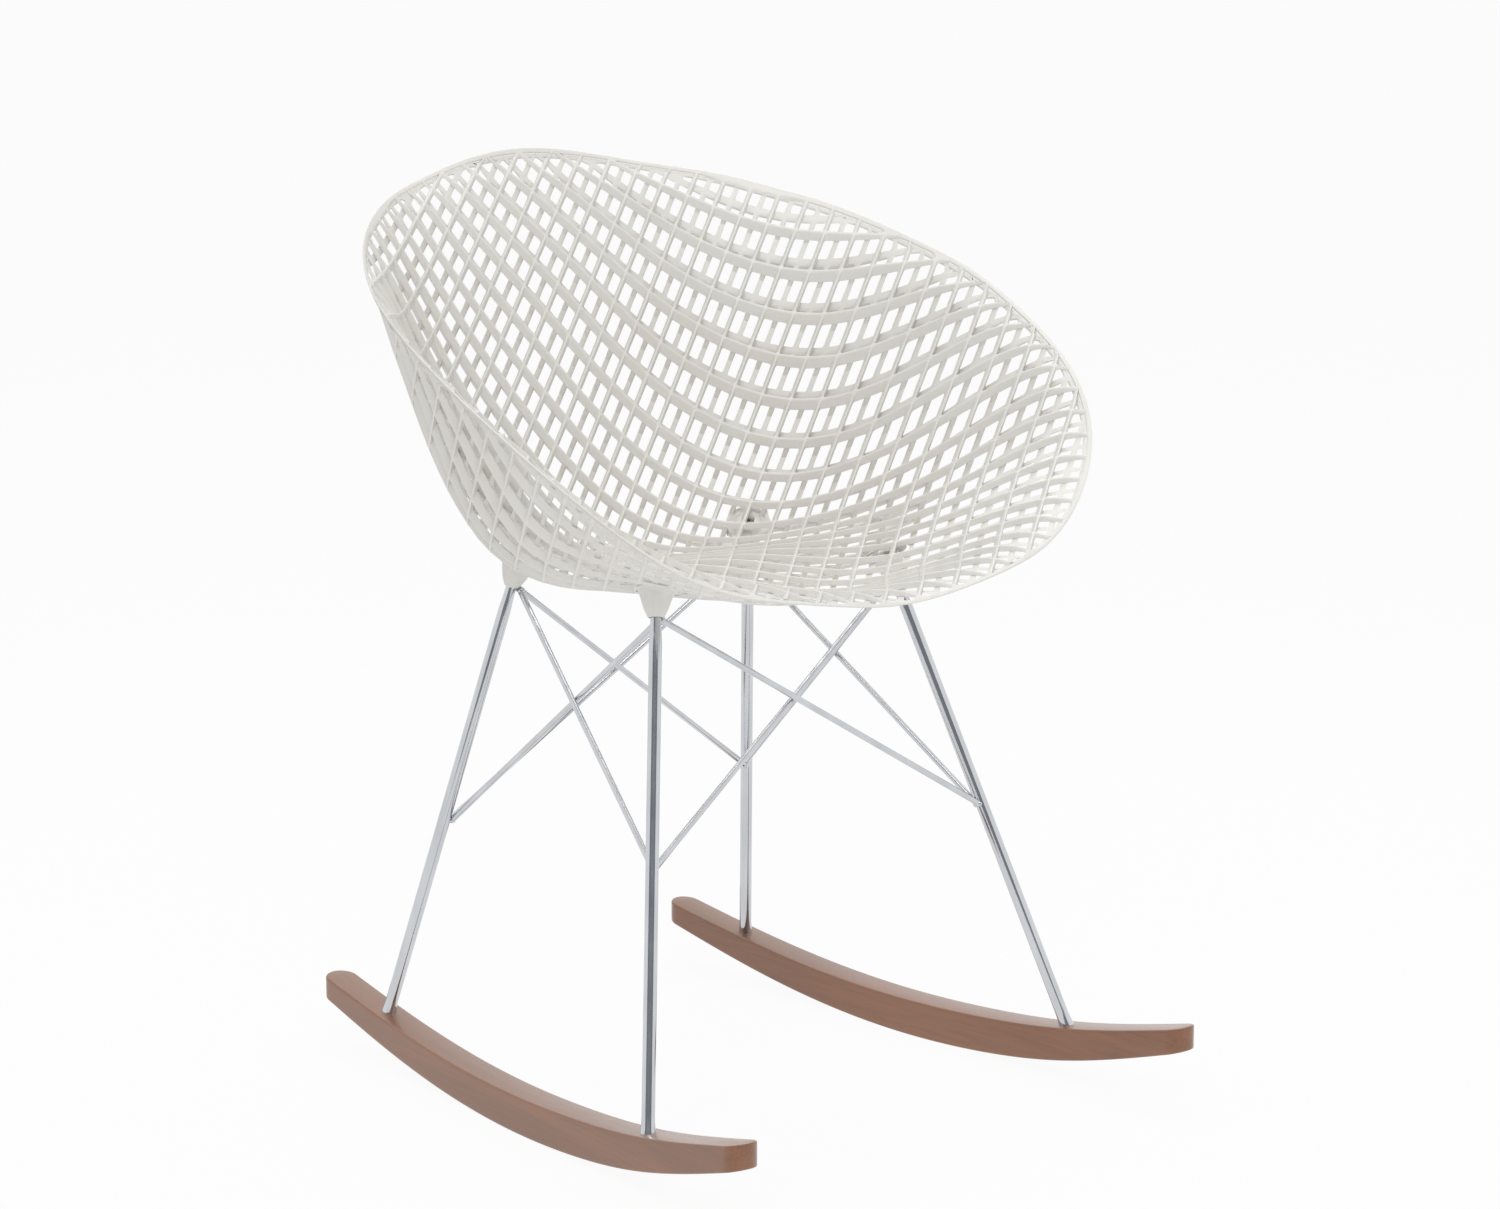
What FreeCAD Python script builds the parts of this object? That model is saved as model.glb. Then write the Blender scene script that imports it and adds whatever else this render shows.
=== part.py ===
import FreeCAD, Part
import math
import os

os.makedirs("parts", exist_ok=True)

# Lengths are millimetres, angles degrees. +X is the sitter's left, the chair faces -Y,
# the floor is at z = 0 and the rockers are centred on the origin.

# Rockers
rockerLength = 634.0
rockerThickness = 29.0
rockerHalfSpacing = 215.9      # from the middle plane to a rocker's middle, at y = 0
rockerToe = 4.05               # the rockers open towards the front
# The side view of a rocker: (y, z) along its top edge and along its sole
rockerTop = [(-317, 75.0), (-181, 46.1), (-81, 35.5), (19, 32.0), (119, 35.7), (219, 46.1), (317, 60.5)]
rockerSole = [(-317, 54.0), (-181, 16.8), (-81, 3.4), (0, 0.0), (119, 6.3), (219, 21.3), (317, 41.6)]
rockerEdgeRound = 1.6
rockerBlankHeight = 200.0      # the board is cut from a blank this tall, from this far under the floor
rockerBlankBelow = 20.0

# Legs: steel rods from the rockers' top faces up into the shell's sockets
legRadius = 5.4
legFlareRadius = 6.6
legFlareHeight = 12.0
legBlankBelow = 10.0           # the leg is cut to the rocker's top face from a blank this much longer
frontFootY = -178.0
rearFootY = 222.0
frontLegTop = (129.3, -64.7, 431.2)    # where the leg enters its socket
rearLegTop = (129.3, 132.4, 427.5)
legInSocket = 14.0

# Braces: eight thin rods, each from the inner side of a leg's top to the next leg's middle
braceRadius = 2.7
frontMiddle = 0.499            # share of the front leg's height at which braces meet it
rearMiddle = 0.455
braceBelowTop = 3.5            # the upper welds sit this far under the socket
weldTurn = 30.0                # welds look across the chair, turned this far towards its middle
weldReach = 7.5                # from a leg's axis to the end of a brace's axis
frontMiddleReach = 4.0
crossingGap = 0.2

# Moulded shell, in the moulding frame: x across the chair, v up the shell, w out of the mould
pullAngle = 29.2               # w leans back from the vertical by this angle
shellShift = (22.0, 46.1)      # the moulding frame's origin, as y and z on the chair
frontDepth = (10.2, 5.3)       # depth of the front layer square to the skin, in the middle and at the edge
backDepth = (10.2, 3.7)
ribPitch = 25.1                # square distance between two ribs of one family
ribThickness = 3.2
ribAngle = 46.9                # each family runs at this angle to x, one mirroring the other
ribPhase = -4.9                # from the middle to the first front rib, square to it
rimWidth = 4.0                 # closed border round the lattice
smallestWindow = 25.0          # square millimetres; less than this stays closed
shortestSide = 0.3             # corners of a window nearer than this become one
seam = 0.001                   # faces of a layer are joined where they lie this near

# Outline of the shell: two half superellipses that meet at its widest line
shellHalfWidth = 312.5
widestAt = 245.0
backReach = 346.0
frontReach = 267.5
backPower = 2.0
frontPower = 2.27
outlinePoints = 96

# Control heights (w) of the shell's middle skin. Rows go from the middle plane out to the side,
# and each row runs from the front lip, over the seat and the bend, to the top of the back.
skinHalfWidth = 340.0
skinFront = -40.0
skinTop = 610.0
skinSpans = 6
skinDegree = 3
skinRows = {
    "middle": [458, 479, 366, 386, 247, 319, 450, 476, 517],
    "thigh": [481, 517, 394, 369, 258, 345, 438, 509, 519],
    "hip": [414, 511, 524, 384, 353, 431, 533, 558, 455],
    "arm": [352, 502, 563, 583, 555, 567, 584, 527, 348],
    "edge": [329, 446, 503, 531, 544, 535, 430, 314, 193],
}
skinCover = 200.0              # a tool that covers the shell reaches this far over the skin

# Sockets: a round pad in the back layer with a cone under it that takes the leg's top
padRadius = 15.0
padBlankDepth = 40.0
padWall = 2.6                  # between the pad and the nearest window
coneMouthRadius = 6.8
coneSpread = 26.0              # half angle of the cone
coneMostRadius = 15.0          # the cone grows no wider than this
coneBlankLength = 60.0
fitGap = 0.15
toolOverlap = 1.0              # a cutting tool runs this far past the face that it opens

# Fasteners: screws through the pads into the legs, and through the rockers into the legs
screwRadius = 3.0
screwHeadRadius = 5.0
screwHeadHeight = 4.0
washerRadius = 7.0
washerThickness = 1.2
screwHeadChamfer = 0.5
seatRecessDepth = 6.0          # under the skin between the layers
seatScrewBite = 16.0           # length of thread in a leg
threadRunOut = 2.0             # the hole in a leg is this much longer than the thread
soleRecessRadius = 7.5
soleRecessDepth = 8.0
driveRadius = 2.3              # hexagon socket in a screw's head, to its corners
driveDepth = 2.2

# Finding where a line meets a face
searchReach = 80.0
searchSteps = 40
searchStep = 0.1

sides = {"left": 1, "right": -1}


def vec(x, y, z):
    return FreeCAD.Vector(x, y, z)


def export(name, shape):
    shape.exportStep("parts/" + name + ".step")


def rod(start, end, radius):
    return Part.makeCylinder(radius, (end - start).Length, start, end - start)


def rockerMiddle(side, y):
    return side * (rockerHalfSpacing - math.tan(math.radians(rockerToe)) * y)


def splineAt(points, y):
    """Height of a side view line at y."""
    curve = Part.BSplineCurve()
    curve.interpolate([vec(0, a, b) for a, b in points])
    plane = Part.Plane(vec(0, y, 0), vec(0, 1, 0))
    return curve.intersect(plane)[0][0].Z


def makeRocker(side):
    top = Part.BSplineCurve()
    top.interpolate([vec(-rockerThickness, y, z) for y, z in rockerTop])
    sole = Part.BSplineCurve()
    sole.interpolate([vec(-rockerThickness, y, z) for y, z in rockerSole])
    ends = [Part.LineSegment(top.StartPoint, sole.StartPoint), Part.LineSegment(top.EndPoint, sole.EndPoint)]
    wire = Part.Wire(Part.__sortEdges__([c.toShape() for c in (top, sole, *ends)]))
    board = Part.Face(wire).extrude(vec(2 * rockerThickness, 0, 0))
    half = rockerThickness / 2
    straight = rockerLength / 2 - half
    low = -rockerBlankBelow
    plan = Part.makeBox(rockerThickness, 2 * straight, rockerBlankHeight, vec(-half, -straight, low))
    for end in (-straight, straight):
        plan = plan.fuse(Part.makeCylinder(half, rockerBlankHeight, vec(0, end, low)))
    board = board.common(plan.removeSplitter())
    board = board.makeFillet(rockerEdgeRound, [e for e in board.Edges if not isUpright(e)])
    board.rotate(vec(0, 0, 0), vec(0, 0, 1), side * rockerToe)
    board.translate(vec(rockerMiddle(side, 0), 0, 0))
    return board


def isUpright(edge):
    a, b = edge.Vertexes[0].Point, edge.Vertexes[-1].Point
    return abs(a.x - b.x) + abs(a.y - b.y) < 0.01 and abs(a.z - b.z) > 1


def legPoints(side, end):
    """Foot on the rocker and top at the socket's mouth."""
    footY = frontFootY if end == "front" else rearFootY
    x, y, z = frontLegTop if end == "front" else rearLegTop
    foot = vec(rockerMiddle(side, footY), footY, splineAt(rockerTop, footY))
    return foot, vec(side * x, y, z)


def makeLegBlank(foot, top):
    axis = (top - foot).normalize()
    rise = (top - foot).Length + legInSocket
    leg = Part.makeCylinder(legRadius, rise, foot, axis)
    flare = Part.makeCone(legFlareRadius, legRadius, legFlareHeight, foot, axis)
    stub = Part.makeCylinder(legFlareRadius, legBlankBelow, foot - axis * legBlankBelow, axis)
    return leg.fuse([flare, stub]).removeSplitter()


def placed(shape):
    """Turn a shape from the moulding frame onto the chair."""
    turned = shape.copy()
    turned.rotate(vec(0, 0, 0), vec(1, 0, 0), pullAngle)
    turned.translate(vec(0, *shellShift))
    return turned


def unplaced(point):
    back = FreeCAD.Rotation(vec(1, 0, 0), -pullAngle)
    return back.multVec(point - vec(0, *shellShift))


def controlPlaces(low, high):
    """Places of the control points of an evenly spaced clamped spline."""
    inner = [low + (high - low) * i / skinSpans for i in range(skinSpans + 1)]
    knots = [low] * skinDegree + inner + [high] * skinDegree
    return [sum(knots[i + 1:i + 1 + skinDegree]) / skinDegree for i in range(skinSpans + skinDegree)], inner


def splineSurface(rows):
    """A surface over the mould's plan. Its parameters are x and v themselves."""
    across, knotsX = controlPlaces(-skinHalfWidth, skinHalfWidth)
    along, knotsV = controlPlaces(skinFront, skinTop)
    poles = [[vec(x, v, w) for v, w in zip(along, row)] for x, row in zip(across, rows)]
    repeats = [skinDegree + 1] + [1] * (skinSpans - 1) + [skinDegree + 1]
    surface = Part.BSplineSurface()
    surface.buildFromPolesMultsKnots(
        poles, repeats, repeats, knotsX, knotsV, False, False, skinDegree, skinDegree)
    return surface


def share(x, v):
    """0 at the middle of the widest line, 1 on the outline."""
    power, reach = (backPower, backReach) if v > widestAt else (frontPower, frontReach)
    return (abs(x) / shellHalfWidth) ** power + (abs(v - widestAt) / reach) ** power


def skin(side):
    """The skin between the layers (side 0), or the front (1) or back (-1) face of the shell."""
    half = list(skinRows.values())
    rows = half[:0:-1] + half
    middle = splineSurface(rows)
    if side == 0:
        return middle
    across, _ = controlPlaces(-skinHalfWidth, skinHalfWidth)
    along, _ = controlPlaces(skinFront, skinTop)
    deep, shallow = frontDepth if side > 0 else backDepth
    moved = []
    for x, row in zip(across, rows):
        heights = []
        for v, w in zip(along, row):
            drawIn = max(share(x, v), 1) ** -0.5
            px, pv = x * drawIn, widestAt + (v - widestAt) * drawIn
            depth = deep + (shallow - deep) * min(share(px, pv), 1)
            heights.append(w + side * depth / abs(middle.normal(px, pv).z))
        moved.append(heights)
    return splineSurface(moved)


def outline(inset):
    points = []
    for i in range(outlinePoints):
        turn = 2 * math.pi * i / outlinePoints
        c, s = math.cos(turn), math.sin(turn)
        power, reach = (backPower, backReach) if s > 0 else (frontPower, frontReach)
        x = (shellHalfWidth - inset) * math.copysign(abs(c) ** (2 / power), c)
        v = widestAt + (reach - inset) * math.copysign(abs(s) ** (2 / power), s)
        points.append((x, v))
    return points


def sideOf(point, edgePoint, normal):
    return (point[0] - edgePoint[0]) * normal[0] + (point[1] - edgePoint[1]) * normal[1]


def clip(polygon, edgePoint, normal):
    """Cut a polygon along a line and drop what lies on the normal's side."""
    kept = []
    for a, b in zip(polygon, polygon[1:] + polygon[:1]):
        da, db = sideOf(a, edgePoint, normal), sideOf(b, edgePoint, normal)
        if da <= 0:
            kept.append(a)
        if da * db < 0:
            t = da / (da - db)
            kept.append((a[0] + t * (b[0] - a[0]), a[1] + t * (b[1] - a[1])))
    return kept


def area(polygon):
    return abs(sum(a[0] * b[1] - b[0] * a[1] for a, b in zip(polygon, polygon[1:] + polygon[:1]))) / 2


def distance(a, b):
    return math.hypot(a[0] - b[0], a[1] - b[1])


def windows(phase, pads):
    """Diamond windows of one layer, clipped to the border and kept off the pads."""
    border = outline(rimWidth)
    c, s = math.cos(math.radians(ribAngle)), math.sin(math.radians(ribAngle))
    half = (ribPitch - ribThickness) / 2
    reach = ribPitch / min(c, s)
    count = int(2 * backReach / ribPitch)
    found = []
    for i in range(-count, count):
        for j in range(-count, count):
            q, p = phase + (i + 0.5) * ribPitch, -phase + (j + 0.5) * ribPitch
            middle = ((p + q) / (2 * c), (p - q) / (2 * s))
            corners = [(p + a * half, q + b * half) for a, b in ((-1, -1), (1, -1), (1, 1), (-1, 1))]
            window = [((pp + qq) / (2 * c), (pp - qq) / (2 * s)) for pp, qq in corners]
            near = [k for k, point in enumerate(border) if distance(point, middle) < 2 * reach]
            if not near and share(*middle) > 1:
                continue
            for k in near:
                a, b = border[k - 1], border[k]
                window = clip(window, a, (b[1] - a[1], a[0] - b[0]))
            for pad in pads:
                gap = distance(middle, pad)
                if gap < padRadius + reach:
                    towards = ((pad[0] - middle[0]) / gap, (pad[1] - middle[1]) / gap)
                    stop = [pad[k] - towards[k] * (padRadius + padWall) for k in (0, 1)]
                    window = clip(window, stop, towards)
            window = [a for k, a in enumerate(window) if distance(a, window[k - 1]) > shortestSide]
            if len(window) > 2 and area(window) > smallestWindow:
                found.append(window)
    return found


def wireOn(surface, polygon):
    corners = [FreeCAD.Base.Vector2d(*point) for point in polygon]
    lines = [Part.Geom2d.Line2dSegment(a, b) for a, b in zip(corners, corners[1:] + corners[:1])]
    return Part.Wire([line.toShape(surface) for line in lines])


def discOn(surface, middle, radius):
    circle = Part.Geom2d.Circle2d(FreeCAD.Base.Vector2d(*middle), radius)
    return Part.Wire([circle.toShape(surface)])


def outlineOn(surface):
    edge = Part.Geom2d.BSplineCurve2d()
    edge.interpolate([FreeCAD.Base.Vector2d(*point) for point in outline(0)], True)
    return Part.Wire([edge.toShape(surface)])


def makeLayer(side, phase, pads):
    """One lattice layer, between the skin and a face of the shell, with windows and pad holes."""
    openings = windows(phase, pads)
    faces, rims = [], []
    for surface in (skin(side), skin(0)):
        outer = outlineOn(surface)
        holes = [wireOn(surface, window) for window in openings]
        holes += [discOn(surface, pad, padRadius) for pad in pads]
        face = Part.Face(surface, outer)
        face.cutHoles(holes)
        face.validate()
        faces.append(face)
        rims.append([edge for wire in [outer] + holes for edge in wire.Edges])
    faces += [Part.makeRuledSurface(one, other) for one, other in zip(*rims)]
    layer = Part.makeCompound(faces)
    layer.sewShape(seam)
    solid = Part.Solid(layer.Shells[0])
    if solid.Volume < 0:
        solid.reverse()
    return placed(solid)


def aboveSkin(side):
    """Everything over a skin, as a tool for cutting."""
    return placed(skin(side).toShape().extrude(vec(0, 0, skinCover)))


def belowSkin(side):
    return placed(skin(side).toShape().extrude(vec(0, 0, -skinCover)))


def meetsSkin(foot, top):
    """The point where a leg's axis goes through the skin between the layers."""
    axis = (top - foot).normalize()
    surface = skin(0)
    low, high = 0.0, searchReach
    for _ in range(searchSteps):
        middle = (low + high) / 2
        point = unplaced(top + axis * middle)
        if surface.value(point.x, point.y).z > point.z:
            low = middle
        else:
            high = middle
    return top + axis * low


def makeSocket(foot, top):
    """Pad in the back layer with its cone below, bored for the leg and for the screw."""
    axis = (top - foot).normalize()
    middle = unplaced(meetsSkin(foot, top))
    upper = skin(0)
    pad = Part.Face(upper, discOn(upper, (middle.x, middle.y), padRadius)).extrude(vec(0, 0, -padBlankDepth))
    wide = coneMouthRadius + coneBlankLength * math.tan(math.radians(coneSpread))
    cone = Part.makeCone(coneMouthRadius, wide, coneBlankLength, top, axis)
    cone = cone.common(Part.makeCylinder(coneMostRadius, coneBlankLength, top, axis)).cut(aboveSkin(-1))
    socket = placed(pad).cut(belowSkin(-1)).fuse(cone).removeSplitter()
    recess = recessFloor(foot, top)
    tools = [
        rod(top - axis * toolOverlap, top + axis * (legInSocket + fitGap), legRadius + fitGap),
        rod(top, recess + axis * toolOverlap, screwRadius + fitGap),
        rod(recess, recess + axis * coneBlankLength, washerRadius + fitGap),
    ]
    return socket.cut(tools)


def recessFloor(foot, top):
    axis = (top - foot).normalize()
    return meetsSkin(foot, top) - axis * seatRecessDepth


def soleFloor(foot, top):
    """Where the leg's axis leaves the rocker's sole, raised by the recess."""
    axis = (top - foot).normalize()
    below = foot
    while splineAt(rockerSole, below.y) < below.z:
        below = below - axis * searchStep
    return below + axis * soleRecessDepth


def makeScrew(seat, axis, length):
    """A screw whose head stands on seat and whose thread runs along -axis."""
    head = Part.makeCylinder(screwHeadRadius, screwHeadHeight, seat, axis)
    head = head.makeChamfer(screwHeadChamfer, [head.Edges[0]])
    corners = [vec(driveRadius * math.cos(a), driveRadius * math.sin(a), 0)
               for a in [math.pi / 3 * i for i in range(7)]]
    drive = Part.Face(Part.makePolygon(corners)).extrude(vec(0, 0, 2 * driveDepth))
    drive.Placement = FreeCAD.Placement(
        seat + axis * (screwHeadHeight - driveDepth), FreeCAD.Rotation(vec(0, 0, 1), axis))
    return head.fuse(rod(seat - axis * length, seat, screwRadius)).cut(drive)


def makeWasher(seat, axis):
    ring = Part.makeCylinder(washerRadius, washerThickness, seat, axis)
    return ring.cut(Part.makeCylinder(screwRadius + fitGap, washerThickness, seat, axis))


def weldPlace(leg, points, low):
    """Where a brace's axis ends beside a leg: under the socket, or low at the leg's middle."""
    end, name = leg
    foot, top = points
    towards = 1 if end == "front" else -1
    turn = math.radians(weldTurn)
    inward = vec(-sides[name] * math.cos(turn), towards * math.sin(turn), 0)
    if not low:
        return top - (top - foot).normalize() * braceBelowTop + inward * weldReach
    if end == "front":
        return foot + (top - foot) * frontMiddle + inward * frontMiddleReach
    return foot + (top - foot) * rearMiddle + inward * weldReach


def makeBraces(legs, solids, sockets):
    """Two crossed rods between each pair of neighbouring legs."""
    faces = {
        "left": (("rear", "left"), ("front", "left")),
        "right": (("rear", "right"), ("front", "right")),
        "front": (("front", "left"), ("front", "right")),
        "rear": (("rear", "left"), ("rear", "right")),
    }
    braces = {}
    for face, (one, other) in faces.items():
        ends = []
        for high, low in ((one, other), (other, one)):
            start = weldPlace(high, legs[high], False)
            ends.append((high, low, start, weldPlace(low, legs[low], True)))
        runs = [end - start for _, _, start, end in ends]
        across = runs[0].cross(runs[1]).normalize()
        apart = (ends[1][2] - ends[0][2]).dot(across)
        wanted = math.copysign(2 * braceRadius + crossingGap, apart)
        for sign, (high, low, start, end) in zip((1, -1), ends):
            move = across * (sign * (apart - wanted) / 2)
            brace = rod(start + move, end + move, braceRadius)
            brace = brace.cut([solids[high], solids[low], sockets[high]] + list(braces.values()))
            label = high[0] if face in sides else high[1]
            braces["brace_" + face + "_from_" + label] = longest(brace)
    return braces


def longest(shape):
    return max(shape.Solids, key=lambda solid: solid.Volume)


def build():
    legs = {(end, name): legPoints(side, end) for end in ("front", "rear") for name, side in sides.items()}
    rockers = {name: makeRocker(side) for name, side in sides.items()}
    legSolids, sockets = {}, {}
    for key, (foot, top) in legs.items():
        end, name = key
        label = end + "_" + name
        axis = (top - foot).normalize()
        leg = longest(makeLegBlank(foot, top).cut(rockers[name]))
        legEnd = top + axis * legInSocket
        bite = axis * (seatScrewBite + threadRunOut)
        holes = [rod(legEnd - bite, legEnd + axis * toolOverlap, screwRadius + fitGap),
                 rod(foot - axis * (legBlankBelow + toolOverlap), foot + bite, screwRadius + fitGap)]
        leg = leg.cut(holes)
        legSolids[key] = leg
        export("leg_" + label, leg)

        seat = recessFloor(foot, top)
        sockets[key] = makeSocket(foot, top)
        export("shell_socket_" + label, sockets[key])
        export("seat_washer_" + label, makeWasher(seat, axis))
        headSeat = seat + axis * washerThickness
        export("seat_screw_" + label, makeScrew(headSeat, axis, (headSeat - legEnd).Length + seatScrewBite))

        seat = soleFloor(foot, top)
        rockers[name] = rockers[name].cut([
            rod(seat - axis * rockerBlankBelow, seat, soleRecessRadius),
            rod(seat, foot + axis * legBlankBelow, screwRadius + fitGap)])
        export("rocker_washer_" + label, makeWasher(seat - axis * washerThickness, axis))
        headSeat = seat - axis * washerThickness
        length = (foot - headSeat).Length + seatScrewBite
        export("rocker_screw_" + label, makeScrew(headSeat, axis * -1, length))
    for name, rocker in rockers.items():
        export("rocker_" + name, rocker)
    for name, brace in makeBraces(legs, legSolids, sockets).items():
        export(name, brace)

    pads = [unplaced(meetsSkin(foot, top)) for foot, top in legs.values()]
    pads = [(pad.x, pad.y) for pad in pads]
    export("shell_front_layer", makeLayer(1, ribPhase, []))
    export("shell_back_layer", makeLayer(-1, ribPhase + ribPitch / 2, pads))


build()
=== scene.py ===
import math
import bpy
import numpy as np
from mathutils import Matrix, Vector


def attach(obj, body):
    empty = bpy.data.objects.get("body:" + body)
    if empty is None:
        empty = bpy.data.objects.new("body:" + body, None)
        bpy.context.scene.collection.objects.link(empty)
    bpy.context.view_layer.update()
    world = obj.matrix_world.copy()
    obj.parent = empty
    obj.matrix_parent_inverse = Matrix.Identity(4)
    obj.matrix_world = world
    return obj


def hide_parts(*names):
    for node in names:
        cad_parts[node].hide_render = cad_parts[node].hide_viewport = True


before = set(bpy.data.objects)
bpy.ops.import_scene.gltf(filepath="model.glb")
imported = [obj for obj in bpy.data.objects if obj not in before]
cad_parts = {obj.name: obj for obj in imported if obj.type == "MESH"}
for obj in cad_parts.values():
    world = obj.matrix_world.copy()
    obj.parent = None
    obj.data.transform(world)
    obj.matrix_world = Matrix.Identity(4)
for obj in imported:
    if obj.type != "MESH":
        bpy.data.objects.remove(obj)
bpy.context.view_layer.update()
mm = 0.001
tiny = 1e-9
corners = [(end, side) for end in ("front", "rear") for side in ("left", "right")]
sideSign = {"left": 1, "right": -1}
print("frame loaded")


# Shell skin

# Moulding frame: x across the chair, v up the shell, w out of the mould. Millimetres.
# Rows of control heights go from the middle plane to the side, each from lip to top edge.
skin = {
    "pull": math.radians(29.2), "moveY": 22.0, "moveZ": 46.1,
    "half": 340.0, "front": -40.0, "top": 610.0, "spans": 6,
    "middle": (458, 479, 366, 386, 247, 319, 450, 476, 517),
    "thigh": (481, 517, 394, 369, 258, 345, 438, 509, 519),
    "hip": (414, 511, 524, 384, 353, 431, 533, 558, 455),
    "arm": (352, 502, 563, 583, 555, 567, 584, 527, 348),
    "edge": (329, 446, 503, 531, 544, 535, 430, 314, 193),
}

# Plan outline, a superellipse: half width, the v where it is widest, its reach to the back and to the front,
# and a power for each. drawSteps is how often a point outside is moved towards it.
edgeLine = {
    "half": 312.2, "widest": 273.0, "back": 320.0, "front": 291.0, "backPower": 1.92, "frontPower": 2.52,
    "drawSteps": 6,
}


def splineWeights(t, low, high, spans):
    # cubic B-spline weights on clamped, evenly spaced knots, by the usual recursion over whole arrays
    knots = np.concatenate([[low] * 3, np.linspace(low, high, spans + 1), [high] * 3])
    t = np.clip(t, low + tiny, high - tiny)[:, None]
    weights = ((t >= knots[None, :-1]) & (t < knots[None, 1:])).astype(float)
    for degree in (1, 2, 3):
        left = knots[degree:-1] - knots[:-degree - 1]
        right = knots[degree + 1:] - knots[1:-degree]
        rise = np.divide(t - knots[:-degree - 1], left, out=np.zeros((len(t), len(left))), where=left > 0)
        fall = np.divide(knots[degree + 1:] - t, right, out=np.zeros((len(t), len(right))), where=right > 0)
        weights = rise * weights[:, :-1] + fall * weights[:, 1:]
    return weights


def skinHeight(x, v):
    # w of the middle skin: the product of spline weights across and along, times the control heights
    half = [skin[name] for name in ("middle", "thigh", "hip", "arm", "edge")]
    rows = np.array(half[:0:-1] + half, float)
    weightsX = splineWeights(x, -skin["half"], skin["half"], skin["spans"])
    weightsV = splineWeights(v, skin["front"], skin["top"], skin["spans"])
    return np.einsum("ni,ij,nj->n", weightsX, rows, weightsV)


def onChair(x, v, w):
    # turn the moulding frame back by the pull angle, then move it onto the chair
    c, s = math.cos(skin["pull"]), math.sin(skin["pull"])
    return np.stack([x, v * c - w * s + skin["moveY"], v * s + w * c + skin["moveZ"]], -1) * mm


def edgeValue(x, v, inset):
    # superellipse value: 1 on the outline drawn in by inset, less inside, with its gradient
    back = v > edgeLine["widest"]
    power = np.where(back, edgeLine["backPower"], edgeLine["frontPower"])
    reach = np.where(back, edgeLine["back"], edgeLine["front"]) - inset
    a, b = np.abs(x) / (edgeLine["half"] - inset), np.abs(v - edgeLine["widest"]) / reach
    value = a ** power + b ** power
    gradX = power * a ** (power - 1) / (edgeLine["half"] - inset) * np.sign(x)
    gradV = power * b ** (power - 1) / reach * np.sign(v - edgeLine["widest"])
    return value, gradX, gradV


def drawIn(x, v, inset, pads, padRadius):
    # points past the outline go back to it along the gradient, points over a pad go out to its rim
    x, v = x.copy(), v.copy()
    for _ in range(edgeLine["drawSteps"]):
        value, gx, gv = edgeValue(x, v, inset)
        step = np.where(value > 1, (value - 1) / np.maximum(gx ** 2 + gv ** 2, tiny), 0)
        x, v = x - step * gx, v - step * gv
    for px, pv in pads:
        gap = np.hypot(x - px, v - pv)
        push = np.where(gap < padRadius, padRadius / np.maximum(gap, tiny), 1.0)
        x, v = px + (x - px) * push, pv + (v - pv) * push
    return x, v


# Meshes

def addMesh(name, points, faces, material, sharpAngle=40):
    # points is an (n, 3) array in metres, faces a list of (k, m) index arrays, sharpAngle is in degrees
    mesh = bpy.data.meshes.new(name)
    total = sum(f.size for f in faces)
    count = sum(len(f) for f in faces)
    mesh.vertices.add(len(points))
    mesh.vertices.foreach_set("co", np.ascontiguousarray(points, np.float32).ravel())
    mesh.loops.add(total)
    mesh.loops.foreach_set("vertex_index", np.concatenate([f.ravel() for f in faces]).astype(np.int32))
    sizes = np.concatenate([np.full(len(f), f.shape[1]) for f in faces])
    mesh.polygons.add(count)
    mesh.polygons.foreach_set("loop_start", np.concatenate([[0], np.cumsum(sizes)[:-1]]).astype(np.int32))
    mesh.update(calc_edges=True)
    mesh.validate()
    mesh.polygons.foreach_set("use_smooth", np.ones(len(mesh.polygons), bool))
    mesh.set_sharp_from_angle(angle=math.radians(sharpAngle))
    mesh.materials.append(material)
    piece = bpy.data.objects.new(name, mesh)
    bpy.context.scene.collection.objects.link(piece)
    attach(piece, "root")
    return piece


# Materials

def newMaterial(name):
    material = bpy.data.materials.new(name)
    material.use_nodes = True
    nodes, links = material.node_tree.nodes, material.node_tree.links
    return material, nodes, links, nodes["Principled BSDF"]


def addNoise(nodes, links, source, figure):
    # noise over the given coordinates, with the scale, detail and stretch that figure holds
    mapping = nodes.new("ShaderNodeMapping")
    mapping.inputs["Scale"].default_value = figure["stretch"]
    links.new(source, mapping.inputs["Vector"])
    noise = nodes.new("ShaderNodeTexNoise")
    noise.inputs["Scale"].default_value = figure["scale"]
    noise.inputs["Detail"].default_value = figure["detail"]
    links.new(mapping.outputs["Vector"], noise.inputs["Vector"])
    return noise.outputs["Fac"]


noiseSpan = (0.3, 0.7)  # noise hardly leaves these values


def addRange(nodes, links, source, low, high):
    # stretches noise to the range from low to high
    spread = nodes.new("ShaderNodeMapRange")
    spread.inputs["From Min"].default_value = noiseSpan[0]
    spread.inputs["From Max"].default_value = noiseSpan[1]
    spread.inputs["To Min"].default_value = low
    spread.inputs["To Max"].default_value = high
    links.new(source, spread.inputs["Value"])
    return spread.outputs["Result"]


def addTones(nodes, links, source, tones):
    # turns noise into a colour between two tones
    ramp = nodes.new("ShaderNodeValToRGB")
    for element, position, tone in zip(ramp.color_ramp.elements, noiseSpan, tones):
        element.position = position
        element.color = (*tone, 1)
    links.new(source, ramp.inputs["Fac"])
    return ramp.outputs["Color"]


def addBump(nodes, links, source, shader, look):
    bump = nodes.new("ShaderNodeBump")
    bump.inputs["Strength"].default_value = look["bump"]
    bump.inputs["Distance"].default_value = look["bumpDistance"]
    links.new(source, bump.inputs["Height"])
    links.new(bump.outputs["Normal"], shader.inputs["Normal"])


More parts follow.
